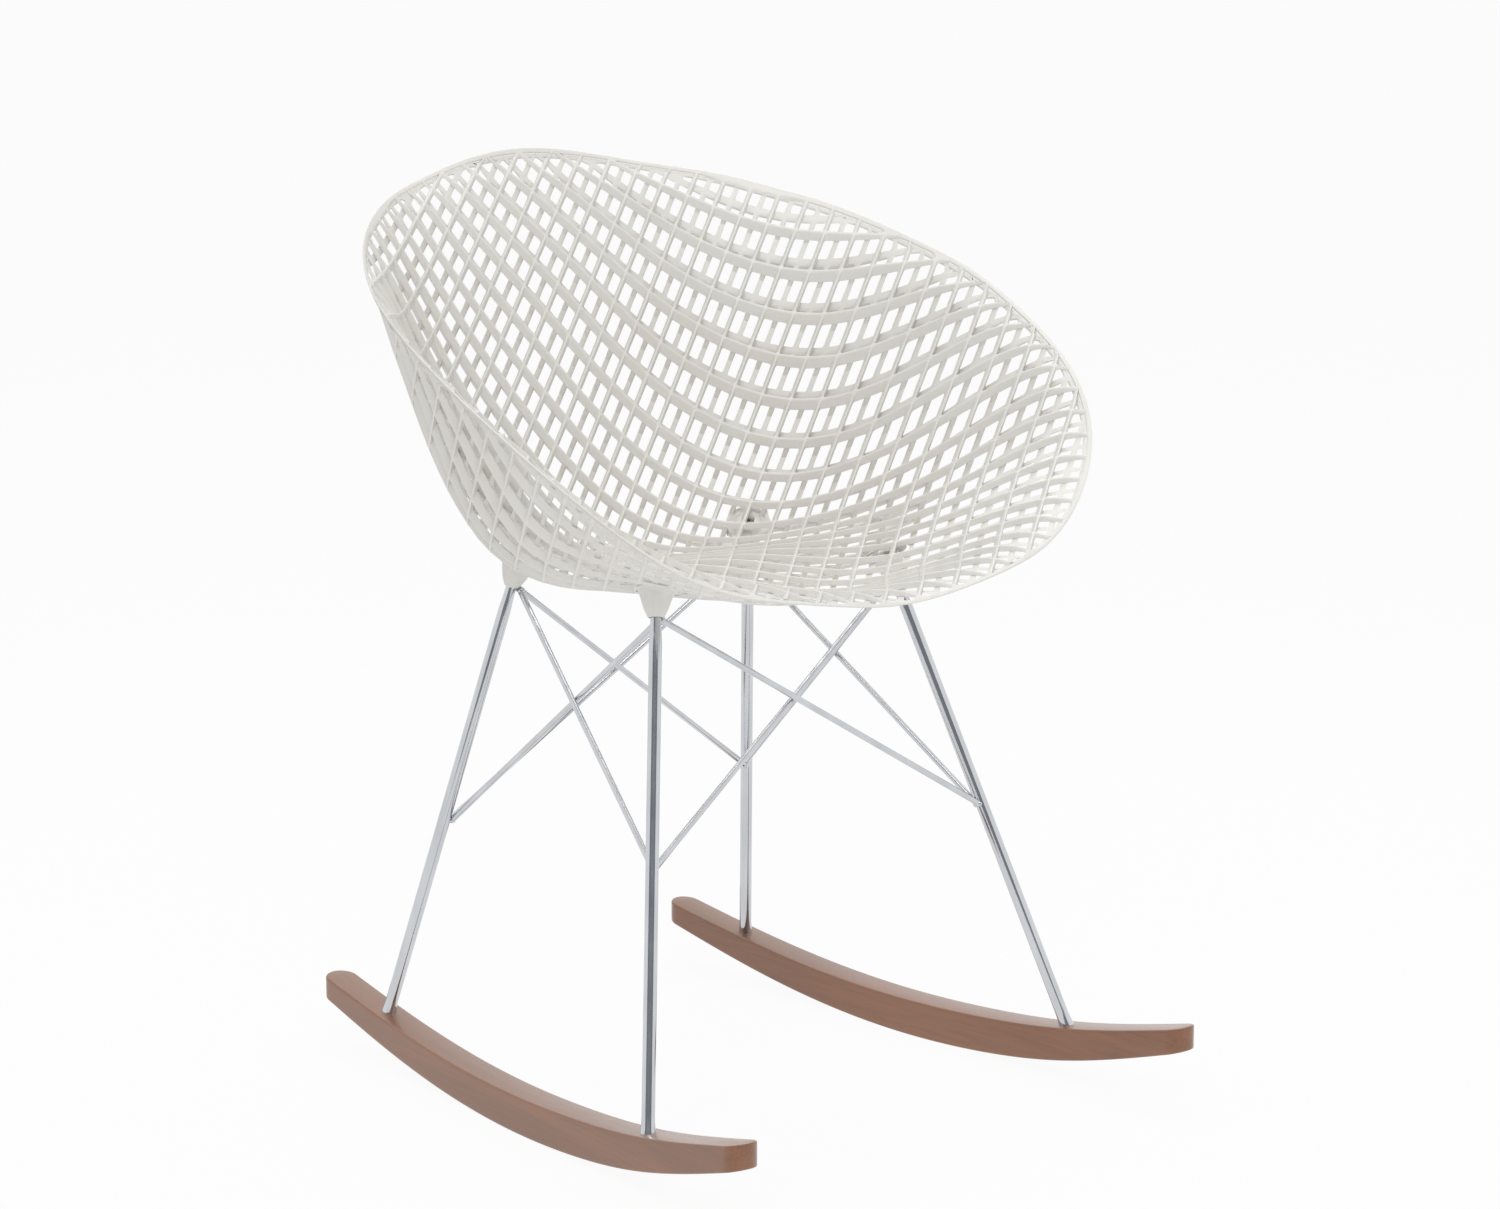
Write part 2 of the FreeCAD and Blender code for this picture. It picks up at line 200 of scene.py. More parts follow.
plasticLook = {
    "tones": ((0.71, 0.695, 0.655), (0.75, 0.74, 0.705)), "rough": (0.34, 0.44), "bending": 1.49,
    "clouds": {"scale": 9.0, "detail": 3, "stretch": (1, 1, 1)},
    "grain": {"scale": 1400.0, "detail": 2, "stretch": (1, 1, 1)},
    "bump": 0.12, "bumpDistance": 0.0002,
}


def shellPlastic():
    # warm white moulded plastic: faint clouds of tone, a satin skin with a fine even texture
    material, nodes, links, shader = newMaterial("shellPlastic")
    place = nodes.new("ShaderNodeTexCoord").outputs["Object"]
    clouds = addNoise(nodes, links, place, plasticLook["clouds"])
    links.new(addTones(nodes, links, clouds, plasticLook["tones"]), shader.inputs["Base Color"])
    grain = addNoise(nodes, links, place, plasticLook["grain"])
    links.new(addRange(nodes, links, grain, *plasticLook["rough"]), shader.inputs["Roughness"])
    addBump(nodes, links, grain, shader, plasticLook)
    shader.inputs["IOR"].default_value = plasticLook["bending"]
    return material


chromeLook = {
    "tones": ((0.55, 0.565, 0.59), (0.63, 0.645, 0.67)), "rough": (0.09, 0.15),
    "haze": {"scale": 60.0, "detail": 3, "stretch": (1, 1, 0.15)},
    "grain": {"scale": 200.0, "detail": 2, "stretch": (1, 1, 0.1)},
    "bump": 0.02, "bumpDistance": 0.00003,
}


def legChrome():
    # bright plated steel: slight haze in long streaks, and a trace of the drawn rod's texture
    material, nodes, links, shader = newMaterial("legChrome")
    place = nodes.new("ShaderNodeTexCoord").outputs["Object"]
    haze = addNoise(nodes, links, place, chromeLook["haze"])
    links.new(addTones(nodes, links, haze, chromeLook["tones"]), shader.inputs["Base Color"])
    links.new(addRange(nodes, links, haze, *chromeLook["rough"]), shader.inputs["Roughness"])
    grain = addNoise(nodes, links, place, chromeLook["grain"])
    addBump(nodes, links, grain, shader, chromeLook)
    shader.inputs["Metallic"].default_value = 1.0
    return material


woodLook = {
    "tones": ((0.155, 0.056, 0.020), (0.290, 0.114, 0.044)), "rough": (0.36, 0.5),
    "streaks": {"scale": 55.0, "detail": 5, "stretch": (1, 0.05, 1)},
    "clouds": {"scale": 12.0, "detail": 2, "stretch": (1, 0.35, 1)}, "cloudShare": 0.35,
    "pores": {"scale": 420.0, "detail": 3, "stretch": (1, 0.04, 1)}, "poreShare": 0.4,
    "bump": 0.25, "bumpDistance": 0.0003, "coat": 0.8, "coatRough": 0.2,
}


def rockerWood():
    # stained hardwood: streaks and pores run along the board, which stores its own lengthwise coordinates
    material, nodes, links, shader = newMaterial("rockerWood")
    along = nodes.new("ShaderNodeAttribute")
    along.attribute_name = "grain"
    place = along.outputs["Vector"]
    streaks = addNoise(nodes, links, place, woodLook["streaks"])
    clouds = addNoise(nodes, links, place, woodLook["clouds"])
    pores = addNoise(nodes, links, place, woodLook["pores"])
    mixed = streaks
    for other, share in ((clouds, woodLook["cloudShare"]), (pores, woodLook["poreShare"])):
        mix = nodes.new("ShaderNodeMix")
        mix.inputs["Factor"].default_value = share
        links.new(mixed, mix.inputs["A"])
        links.new(other, mix.inputs["B"])
        mixed = mix.outputs["Result"]
    links.new(addTones(nodes, links, mixed, woodLook["tones"]), shader.inputs["Base Color"])
    links.new(addRange(nodes, links, pores, *woodLook["rough"]), shader.inputs["Roughness"])
    addBump(nodes, links, pores, shader, woodLook)
    shader.inputs["Coat Weight"].default_value = woodLook["coat"]
    shader.inputs["Coat Roughness"].default_value = woodLook["coatRough"]
    return material


steelLook = {
    "tones": ((0.42, 0.42, 0.43), (0.56, 0.56, 0.57)), "rough": (0.22, 0.4),
    "polish": {"scale": 700.0, "detail": 3, "stretch": (1, 1, 1)},
    "bump": 0.1, "bumpDistance": 0.0001,
}


def screwSteel():
    # plain turned steel with fine uneven polish
    material, nodes, links, shader = newMaterial("screwSteel")
    place = nodes.new("ShaderNodeTexCoord").outputs["Object"]
    polish = addNoise(nodes, links, place, steelLook["polish"])
    links.new(addTones(nodes, links, polish, steelLook["tones"]), shader.inputs["Base Color"])
    links.new(addRange(nodes, links, polish, *steelLook["rough"]), shader.inputs["Roughness"])
    addBump(nodes, links, polish, shader, steelLook)
    shader.inputs["Metallic"].default_value = 1.0
    return material


plastic = shellPlastic()
chrome = legChrome()
wood = rockerWood()
steel = screwSteel()
print("materials made")


# Lattice nets

# Two nets of ribs lie over each other, half a pitch apart, and short posts join them where ribs cross.
# Depths and gaps are square to the skin. Ribs taper from a narrow rounded edge to a wide root.
lattice = {
    "pitch": 25.1, "angle": math.radians(46.9), "phase": -4.9,
    "ribEdge": 1.6, "ribRoot": 4.8, "depth": 5.1, "edgeRound": 0.5, "rootRound": 0.35,
    "softStart": 0.2, "softDrop": 0.35, "gapMiddle": 10.2, "gapFall": 8.5,
    "cornerRadius": 1.5, "cornerSteps": 4, "sideSteps": 2, "leastTile": 0.5, "leastWindow": 12.0,
    "rimFrom": 0.80, "rimThin": 0.75, "lipFrom": 0.08, "lipSpan": 0.25, "lipBack": 190.0, "lipFade": 90.0,
    "padRadius": 15.0, "padWall": 2.6, "post": 3.4, "postSink": 0.25,
}
nets = {
    "shellFrontNet": {"side": 1, "inset": 1.2, "border": 1.6, "shift": 0.0, "node": "shell_front_layer"},
    "shellBackNet": {"side": -1, "inset": 3.5, "border": 1.6, "shift": 0.5, "node": "shell_back_layer"},
}


def smooth(t):
    # 0 up to t = 0, 1 from t = 1, and three t squared minus two t cubed between
    t = np.clip(t, 0, 1)
    return t * t * (3 - 2 * t)


def steepness(x, v):
    # how much longer a depth square to the skin is when it is measured along w:
    # the square root of 1 plus the squares of the slopes along x and v
    step = 0.5
    slopeX = (skinHeight(x + step, v) - skinHeight(x - step, v)) / (2 * step)
    slopeV = (skinHeight(x, v + step) - skinHeight(x, v - step)) / (2 * step)
    return np.sqrt(1 + slopeX ** 2 + slopeV ** 2)


def netHeight(x, v, side, level):
    # w of a net's surface: level 0 is its root, which faces the other net, and 1 its outer edge.
    # Near the rim both nets thin and the back one rises until it lies against the front one.
    # Under the front of the seat it does so sooner.
    value = np.minimum(edgeValue(x, v, 0)[0], 1)
    ease = smooth((value - lattice["rimFrom"]) / (1 - lattice["rimFrom"]))
    gap = lattice["gapMiddle"] - lattice["gapFall"] * value
    if side < 0:
        nearLip = smooth((value - lattice["lipFrom"]) / lattice["lipSpan"])
        ease = np.maximum(ease, nearLip * smooth((lattice["lipBack"] - v) / lattice["lipFade"]))
        gap = gap * (1 - 2 * ease)
    depth = lattice["depth"] * (1 - lattice["rimThin"] * ease)
    return skinHeight(x, v) + side * (gap / 2 + level * depth) * steepness(x, v)


def roundedSquare(half, radius):
    # a square whose corners are arcs: for each corner an arc, and steps along each side
    turn = np.linspace(0, math.pi / 2, lattice["cornerSteps"] + 1)
    arc = np.stack([half - radius + radius * np.cos(turn), half - radius + radius * np.sin(turn)], 1)
    share = np.linspace(0, 1, lattice["sideSteps"] + 1)[1:-1, None]
    side = arc[-1] * (1 - share) + (arc[-1] * [-1, 1]) * share
    loops = [np.concatenate([arc, side])]
    for _ in range(3):
        loops.append(np.stack([-loops[-1][:, 1], loops[-1][:, 0]], 1))
    return np.concatenate(loops)


def loopArea(x, v):
    # area inside each loop, from the cross products of neighbouring points
    return np.abs((x * np.roll(v, -1, 1) - np.roll(x, -1, 1) * v).sum(1)) / 2


def cellMiddles(phase):
    # the middles of the windows of one net, p along one rib family and q along the other
    pitch = lattice["pitch"]
    count = int(2 * edgeLine["back"] / pitch)
    i, j = [g.ravel() + 0.5 for g in np.meshgrid(np.arange(-count, count), np.arange(-count, count))]
    return -phase + j * pitch, phase + i * pitch


def onPlan(p, q):
    # rib coordinates to the plan of the mould
    return (p + q) / (2 * math.cos(lattice["angle"])), (p - q) / (2 * math.sin(lattice["angle"]))


def latticeNet(name, net, pads):
    # each cell of the diamond grid is a tile: a ring of rib round a window, welded to its neighbours
    pitch = lattice["pitch"]
    p0, q0 = cellMiddles(lattice["phase"] + net["shift"] * pitch)
    # keep the cells whose middle is inside the outline or less than a pitch outside it
    near = edgeValue(*onPlan(p0, q0), -pitch)[0] < 1
    p0, q0 = p0[near], q0[near]
    corner = lattice["cornerRadius"]
    edgeHalf, rootHalf = (pitch - lattice["ribEdge"]) / 2, (pitch - lattice["ribRoot"]) / 2
    softEdge, softRoot = lattice["edgeRound"], lattice["rootRound"]
    # the tile's own border: as many points as a window has, pushed out to a full square
    cell = roundedSquare(edgeHalf, corner)
    cell = cell * (pitch / 2) / np.abs(cell).max(1)[:, None]
    flare = (edgeHalf - rootHalf) / lattice["depth"]
    side, depth, start = net["side"], lattice["depth"], lattice["softStart"]
    # down the window's wall: half width, how far it stays inside the border, and level
    profile = [
        (edgeHalf + softEdge, 0.0, 1.0),
        (edgeHalf + start * softEdge, start * softEdge, 1 - lattice["softDrop"] * softEdge / depth),
        (edgeHalf - softEdge * flare, softEdge, 1 - softEdge / depth),
        (rootHalf + softRoot * flare, softEdge, softRoot / depth),
        (rootHalf + softRoot, softEdge - softRoot, 0.0),
    ]

    def loop(shape, inset, clear):
        p, q = p0[:, None] + shape[:, 0], q0[:, None] + shape[:, 1]
        x, v = onPlan(p, q)
        size = x.shape
        x, v = drawIn(x.ravel(), v.ravel(), inset, pads, clear)
        return x.reshape(size), v.reshape(size)

    border = net["inset"] + net["border"]
    padClear = lattice["padRadius"] + lattice["padWall"]
    outer = loop(cell, net["inset"], lattice["padRadius"])
    rings = [
        (loop(roundedSquare(half, corner), border + inner, padClear + inner), level)
        for half, inner, level in profile
    ]
    stack = [(outer, 1.0)] + rings + [(outer, 0.0)]
    hasArea = loopArea(*outer) > lattice["leastTile"]
    narrowest = 3
    hasWindow = (loopArea(*rings[narrowest][0]) > lattice["leastWindow"]) & hasArea
    pierced, shut = np.nonzero(hasWindow)[0], np.nonzero(hasArea & ~hasWindow)[0]
    steps = cell.shape[0]
    xs = np.stack([ring[0][pierced] for ring, _ in stack])
    vs = np.stack([ring[1][pierced] for ring, _ in stack])
    ls = np.stack([np.full(ring[0][pierced].shape, level) for ring, level in stack])
    index = np.arange(xs.size).reshape(xs.shape)
    a, b = index[:-1], np.roll(index[:-1], -1, 2)
    d, e = index[1:], np.roll(index[1:], -1, 2)
    quads = np.stack([a, b, e, d], -1).reshape(-1, 4)
    # a cell with no room for a window is two fans of triangles about its middle
    fanX, fanV = outer[0][shut], outer[1][shut]
    midX, midV = fanX.mean(1, keepdims=True), fanV.mean(1, keepdims=True)
    ones = np.ones((len(shut), steps + 1))
    first = xs.size + np.arange(len(shut))[:, None] * (2 * steps + 2)
    ring = np.arange(steps)
    middle = np.broadcast_to(first + steps, (len(shut), steps))
    upper = np.stack([first + ring, first + np.roll(ring, -1), middle], -1)
    triangles = np.concatenate([upper.reshape(-1, 3), (upper + steps + 1).reshape(-1, 3)[:, ::-1]])
    x = np.concatenate([xs.ravel(), np.concatenate([fanX, midX, fanX, midX], 1).ravel()])
    v = np.concatenate([vs.ravel(), np.concatenate([fanV, midV, fanV, midV], 1).ravel()])
    level = np.concatenate([ls.ravel(), np.concatenate([ones, 0 * ones], 1).ravel()])
    # weld points that agree to a fiftieth of a millimetre and a thousandth of a level
    fine, fineLevel = 50, 1000
    keys = np.round(np.stack([x * fine, v * fine, level * fineLevel], 1)).astype(np.int64)
    _, kept, back = np.unique(keys, axis=0, return_index=True, return_inverse=True)
    back = back.ravel()
    x, v, level = x[kept], v[kept], level[kept]
    isCell = np.zeros(len(x), bool)
    isCell[back[index[0]].ravel()] = True
    isCell[back[upper.ravel()]] = True
    quads, triangles = back[quads], back[triangles]
    # close the outer side: open edges of the outer face pair with the points under them on the root face
    topQuads = quads[(level[quads] == 1).all(1)]
    topTris = triangles[(level[triangles] == 1).all(1)]
    quadEdges = [topQuads[:, [k, (k + 1) % 4]] for k in range(4)]
    edges = np.concatenate(quadEdges + [topTris[:, [k, (k + 1) % 3]] for k in range(3)])
    edges = edges[edges[:, 0] != edges[:, 1]]
    _, where, times = np.unique(np.sort(edges, 1), axis=0, return_index=True, return_counts=True)
    openEdges = edges[where[times == 1]]
    openEdges = openEdges[isCell[openEdges].all(1)]
    low = np.nonzero(level == 0)[0]
    stride = 1000003  # more than any v in these units, so that one number tells x and v
    code = np.round(x * fine).astype(np.int64) * stride + np.round(v * fine).astype(np.int64)
    order = low[np.argsort(code[low])]
    partner = order[np.clip(np.searchsorted(code[order], code[openEdges]), 0, len(order) - 1)]
    sideQuads = np.stack([openEdges[:, 1], openEdges[:, 0], partner[:, 0], partner[:, 1]], -1)
    if side < 0:
        quads, triangles, sideQuads = quads[:, ::-1], triangles[:, ::-1], sideQuads[:, ::-1]
    points = onChair(x, v, netHeight(x, v, side, level))
    piece = addMesh(name, points, [quads, sideQuads, triangles], plastic)
    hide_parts(net["node"])
    print(name, len(pierced), "windows", len(shut), "solid tiles")


def latticePosts():
    # a square post stands wherever a rib of one net crosses a rib of the other
    pitch, half = lattice["pitch"], lattice["post"] / 2
    count = int(2 * edgeLine["back"] / pitch)
    i, j = [g.ravel() for g in np.meshgrid(np.arange(-count, count), np.arange(-count, count))]
    phase = lattice["phase"]
    p = np.concatenate([-phase + (j + 0.5) * pitch, -phase + j * pitch])
    q = np.concatenate([phase + i * pitch, phase + (i + 0.5) * pitch])
    inside = edgeValue(*onPlan(p, q), lattice["ribRoot"])[0] < 1
    p, q = p[inside], q[inside]
    square = np.array([[1, 1], [-1, 1], [-1, -1], [1, -1]]) * half
    x, v = onPlan(p[:, None] + square[:, 0], q[:, None] + square[:, 1])
    x, v = x.ravel(), v.ravel()
    sink = lattice["postSink"]
    top = onChair(x, v, netHeight(x, v, 1, sink)).reshape(-1, 4, 3)
    low = onChair(x, v, netHeight(x, v, -1, sink)).reshape(-1, 4, 3)
    points = np.concatenate([top, low], 1).reshape(-1, 3)
    first = np.arange(len(top))[:, None, None] * 8  # each post has eight corners
    box = np.array([[0, 1, 2, 3], [7, 6, 5, 4], [0, 4, 5, 1], [1, 5, 6, 2], [2, 6, 7, 3], [3, 7, 4, 0]])
    faces = (first + box).reshape(-1, 4)
    piece = addMesh("shellPosts", points, [faces], plastic)
    print("shellPosts", len(top))


# Where legs and rockers stand. Feet are y on the rockers, tops are the middles of the sockets' mouths.
base = {
    "halfSpacing": 215.9, "toe": math.radians(4.05), "frontFoot": -178.0, "rearFoot": 222.0,
    "frontTop": (129.3, -64.7, 431.2), "rearTop": (129.3, 132.4, 427.5),
}
board = {
    "length": 634.0, "thickness": 29.0, "round": 1.6,
    "roundSteps": 4, "endSteps": 14, "alongSteps": 90, "rows": 8,
    "top": ((-317, 75.0), (-181, 46.1), (-81, 35.5), (19, 32.0), (119, 35.7), (219, 46.1), (317, 60.5)),
    "sole": ((-317, 54.0), (-181, 16.8), (-81, 3.4), (0, 0.0), (119, 6.3), (219, 21.3), (317, 41.6)),
}


def through(points, at):
    # natural cubic spline through (y, z) points: a band matrix gives the second derivatives at them
    t, z = np.array(points, float).T
    gap, slope = np.diff(t), np.diff(z) / np.diff(t)
    i = np.arange(1, len(t) - 1)
    band, pull = np.eye(len(t)), np.zeros(len(t))
    band[i, i - 1], band[i, i], band[i, i + 1] = gap[i - 1], 2 * (gap[i - 1] + gap[i]), gap[i]
    pull[i] = 6 * (slope[i] - slope[i - 1])
    bend = np.linalg.solve(band, pull)
    j = np.clip(np.searchsorted(t, at) - 1, 0, len(t) - 2)
    a, b = (t[j + 1] - at) / gap[j], (at - t[j]) / gap[j]
    return a * z[j] + b * z[j + 1] + ((a ** 3 - a) * bend[j] + (b ** 3 - b) * bend[j + 1]) * gap[j] ** 2 / 6


def legLine(end, side):
    # a leg's foot on the rocker's top face, its top at the socket's mouth, and the way from one to the other
    y = base[end + "Foot"]
    x = base["halfSpacing"] - math.tan(base["toe"]) * y
    tx, ty, tz = base[end + "Top"]
    foot = np.array([sideSign[side] * x, y, float(through(board["top"], np.array([y]))[0])])
    top = np.array([sideSign[side] * tx, ty, tz])
    return foot, top, (top - foot) / np.linalg.norm(top - foot)


def across(axis):
    # two directions square to an axis and to each other
    one = np.cross(axis, [0.0, 0.0, 1.0])
    one = one / np.linalg.norm(one)
    return one, np.cross(axis, one)


def circleRound(axis, sides):
    # unit vectors square to an axis, one for each side of a ring
    one, other = across(axis)
    turn = np.linspace(0, 2 * math.pi, sides, endpoint=False)
    return np.cos(turn)[:, None] * one + np.sin(turn)[:, None] * other


def aboveNet(origin, axis, sideways, level):
    # how far along axis from origin + sideways the back net's surface lies, by Newton's rule.
    # With no level it is the skin.
    c, s = math.cos(skin["pull"]), math.sin(skin["pull"])

    def miss(h):
        place = origin + sideways + h[:, None] * axis
        y, z = place[:, 1] - skin["moveY"], place[:, 2] - skin["moveZ"]
        x, v, w = place[:, 0], y * c + z * s, z * c - y * s
        surface = skinHeight(x, v) if level is None else netHeight(x, v, -1, level)
        return w - surface, x, v

    start, small, rounds = 18.0, 0.01, 8
    h = np.full(len(sideways), start)
    for _ in range(rounds):
        now, x, v = miss(h)
        h = h - now * small / (miss(h + small)[0] - now)
    return h, x, v


def padMiddles():
    # the middle of a pad is where the leg's line passes the middle of the back net's depth
    found, halfWay = [], 0.5
    for end, side in corners:
        _, top, axis = legLine(end, side)
        _, x, v = aboveNet(top, axis, np.zeros((1, 3)), halfWay)
        found.append((float(x[0]), float(v[0])))
    return found


latticeNet("shellFrontNet", nets["shellFrontNet"], [])
latticeNet("shellBackNet", nets["shellBackNet"], padMiddles())
latticePosts()


# Rim

rim = {"width": 3.0, "depth": 4.8, "rise": 0.1, "steps": 480, "sides": 16, "power": 4.0}


def shellRim():
    # a closed bead along the outline: its section is a superellipse, width wide and depth deep along w
    turn = np.linspace(0, 2 * math.pi, rim["steps"], endpoint=False)
    c, s = np.cos(turn), np.sin(turn)
    power = np.where(s > 0, edgeLine["backPower"], edgeLine["frontPower"])
    reach = np.where(s > 0, edgeLine["back"], edgeLine["front"])
    x = edgeLine["half"] * np.sign(c) * np.abs(c) ** (2 / power)
    v = edgeLine["widest"] + reach * np.sign(s) * np.abs(s) ** (2 / power)
    _, gx, gv = edgeValue(x, v, 0)
    size = np.hypot(gx, gv)
    gx, gv = gx / size, gv / size
    around = np.linspace(0, 2 * math.pi, rim["sides"], endpoint=False)
    ca, sa = np.cos(around), np.sin(around)
    out = (rim["width"] / 2) * np.sign(ca) * np.abs(ca) ** (2 / rim["power"]) - rim["width"] / 2
    up = np.sign(sa) * np.abs(sa) ** (2 / rim["power"])
    up = ((up - 1) * rim["depth"] / 2 + rim["rise"]) / lattice["depth"] + 1
    px, pv = x[:, None] + gx[:, None] * out, v[:, None] + gv[:, None] * out
    height = netHeight(px.ravel(), pv.ravel(), 1, np.broadcast_to(up, px.shape).ravel())
    points = onChair(px.ravel(), pv.ravel(), height)
    index = np.arange(px.size).reshape(px.shape)
    nextTurn, nextSide = np.roll(index, -1, 0), np.roll(index, -1, 1)
    quads = np.stack([index, nextTurn, np.roll(nextTurn, -1, 1), nextSide], -1).reshape(-1, 4)
    piece = addMesh("shellRim", points, [quads], plastic)


shellRim()
print("rim made")


# Sockets

socket = {
    "bore": 5.45, "boreDepth": 14.0, "mouth": 6.3, "lip": 0.5, "spread": 0.5,
    "followFrom": 9.5, "followTo": 18.5, "edge": 18.5, "underLevel": 0.85, "topLevel": 0.15,
    "padTop": 12.0, "padSink": 3.6, "domeHeight": 4.6, "crownShare": 0.8, "recess": 5.6, "recessDepth": 5.5,
    "sides": 48, "underRings": 22, "domeRings": 10, "sharpAngle": 50,
}


def closedRings(points):
    # points is (rings, sides, 3); its first and last rings are single places, so the ends are fans
    rings, sides = points.shape[:2]
    index = np.arange((rings - 2) * sides).reshape(rings - 2, sides) + 1
    last = (rings - 2) * sides + 1
    a, b = index[:-1], np.roll(index[:-1], -1, 1)
    d, e = index[1:], np.roll(index[1:], -1, 1)
    quads = np.stack([a, b, e, d], -1).reshape(-1, 4)
    first = np.stack([np.zeros(sides, int), np.roll(index[0], -1), index[0]], -1)
    final = np.stack([np.full(sides, last), index[-1], np.roll(index[-1], -1)], -1)
    flat = np.concatenate([points[0, :1], points[1:-1].reshape(-1, 3), points[-1, :1]])
    return flat, quads, np.concatenate([first, final])


def shellSocket(end, side):
    # turned about the leg's line: bore, mouth, a cone that flares into the back net, then a domed pad
    _, top, axis = legLine(end, side)
    circle = circleRound(axis, socket["sides"])
    bore, boreDepth, lip, mouth = socket["bore"], socket["boreDepth"], socket["lip"], socket["mouth"]
    under = np.linspace(mouth + lip, socket["edge"], socket["underRings"])
    dome = np.linspace(socket["padTop"], socket["recess"] + lip, socket["domeRings"])
    rings = []

    def ring(radius, height):
        rings.append(top + radius * circle + np.broadcast_to(height, socket["sides"])[:, None] * axis)

    def netRing(radius, level):
        return aboveNet(top, axis, radius * circle, level)[0]

    for radius, height in ((0, boreDepth), (bore, boreDepth), (bore, lip), (bore + lip / 2, 0), (mouth, 0)):
        ring(radius, height)
    for radius in under:
        cone = lip + (radius - mouth - lip) / socket["spread"]
        follow = smooth((radius - socket["followFrom"]) / (socket["followTo"] - socket["followFrom"]))
        ring(radius, (1 - follow) * cone + follow * netRing(radius, socket["underLevel"]))
    ring(socket["edge"], netRing(socket["edge"], socket["topLevel"]))
    for radius in dome:
        rise = socket["domeHeight"] * math.sqrt(max(1 - (radius / socket["padTop"]) ** 2, 0))
        ring(radius, netRing(radius, None) - socket["padSink"] + rise)
    crown = netRing(socket["recess"], None) - socket["padSink"] + socket["domeHeight"] * socket["crownShare"]
    floor = crown.mean() - socket["recessDepth"]
    ring(socket["recess"], crown)
    ring(socket["recess"], floor)
    ring(0, floor)
    points, quads, fans = closedRings(np.stack(rings) * mm)
    name = "Socket" + end.capitalize() + side.capitalize()
    piece = addMesh("shell" + name, points, [quads[:, ::-1], fans[:, ::-1]], plastic, socket["sharpAngle"])
    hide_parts("shell_socket_" + end + "_" + side)


for end, side in corners:
    shellSocket(end, side)
print("sockets made")


# Legs and braces

rod = {
    "radius": 5.4, "footRadius": 6.4, "footHeight": 12.0, "footPower": 1.6, "sink": 3.0,
    "inSocket": 13.5, "neck": 0.8, "neckFrom": 24.0, "neckTo": 7.0,
    "sides": 40, "footRings": 14, "rings": 60, "sharpAngle": 50,
}
brace = {
    "radius": 2.6, "sides": 24, "rings": 30, "frontMiddle": 0.499, "rearMiddle": 0.455, "belowTop": 3.5,
    "weldTurn": math.radians(30), "weldReach": 7.5, "frontMiddleReach": 4.0, "crossing": 5.6,
}
bead = {"radius": 3.5, "halfHeight": 2.9, "tilt": 0.35, "rings": 9, "sides": 16, "least": 0.01}


def tube(start, axis, heights, radii, sides):
    # rings of the given radii round a straight line, closed by a point at each end
    heights = np.concatenate([heights[:1], heights, heights[-1:]])
    radii = np.concatenate([[0], radii, [0]])
    points = start + heights[:, None, None] * axis + radii[:, None, None] * circleRound(axis, sides)
    return closedRings(points * mm)


def addChrome(name, tubes, nodes):
    # one or several closed tubes as one chromed piece
    points, quads, fans, first = [], [], [], 0
    for p, q, f in tubes:
        points.append(p)
        quads.append(q + first)
        fans.append(f + first)
        first += len(p)
    faces = [np.concatenate(quads), np.concatenate(fans)]
    piece = addMesh(name, np.concatenate(points), faces, chrome, rod["sharpAngle"])
    if nodes:
        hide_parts(*nodes)


def rodLeg(end, side):
    # the rod flares at its foot and necks in a little under the socket
    foot, top, axis = legLine(end, side)
    length = np.linalg.norm(top - foot)
    low = np.linspace(-rod["sink"], rod["footHeight"], rod["footRings"])
    high = np.linspace(rod["footHeight"], length + rod["inSocket"], rod["rings"])
    heights = np.concatenate([low, high[1:]])
    flare = np.clip(1 - np.maximum(heights, 0) / rod["footHeight"], 0, 1) ** rod["footPower"]
    neck = smooth((heights - (length - rod["neckFrom"])) / (rod["neckFrom"] - rod["neckTo"]))
    radii = rod["radius"] + (rod["footRadius"] - rod["radius"]) * flare - rod["neck"] * neck
    name = "leg" + end.capitalize() + side.capitalize()
    addChrome(name, [tube(foot, axis, heights, radii, rod["sides"])], ["leg_" + end + "_" + side])


def weldPlace(end, side, low):
    # a brace ends beside the leg, on the side that looks across the chair
    foot, top, axis = legLine(end, side)
    towards = 1 if end == "front" else -1
    turn = brace["weldTurn"]
    inward = np.array([-sideSign[side] * math.cos(turn), towards * math.sin(turn), 0])
    if not low:
        return top - brace["belowTop"] * axis + brace["weldReach"] * inward
    reach = brace["frontMiddleReach"] if end == "front" else brace["weldReach"]
    return foot + (top - foot) * brace[end + "Middle"] + reach * inward


def crossedBraces(face, one, other):
    # two rods between neighbouring legs, moved apart square to both until they just miss each other.
    # Each is named after the leg at its upper end.
    pairs = ((one, other), (other, one))
    ends = [(weldPlace(*high, False), weldPlace(*low, True), high) for high, low in pairs]
    apartWay = np.cross(ends[0][1] - ends[0][0], ends[1][1] - ends[1][0])
    apartWay = apartWay / np.linalg.norm(apartWay)
    apart = (ends[1][0] - ends[0][0]) @ apartWay
    move = (apart - math.copysign(brace["crossing"], apart)) / 2
    radii = np.full(brace["rings"], brace["radius"])
    for sign, (start, stop, high) in zip((1, -1), ends):
        start, stop = start + sign * move * apartWay, stop + sign * move * apartWay
        length = np.linalg.norm(stop - start)
        heights = np.linspace(0, length, brace["rings"])
        made = [tube(start, (stop - start) / length, heights, radii, brace["sides"])]
        label = high[0] if face in sideSign else high[1]
        beadPlaces.extend([start, stop])
        name = "brace" + face.capitalize() + "From" + label.capitalize()
        addChrome(name, made, ["brace_" + face + "_from_" + label])


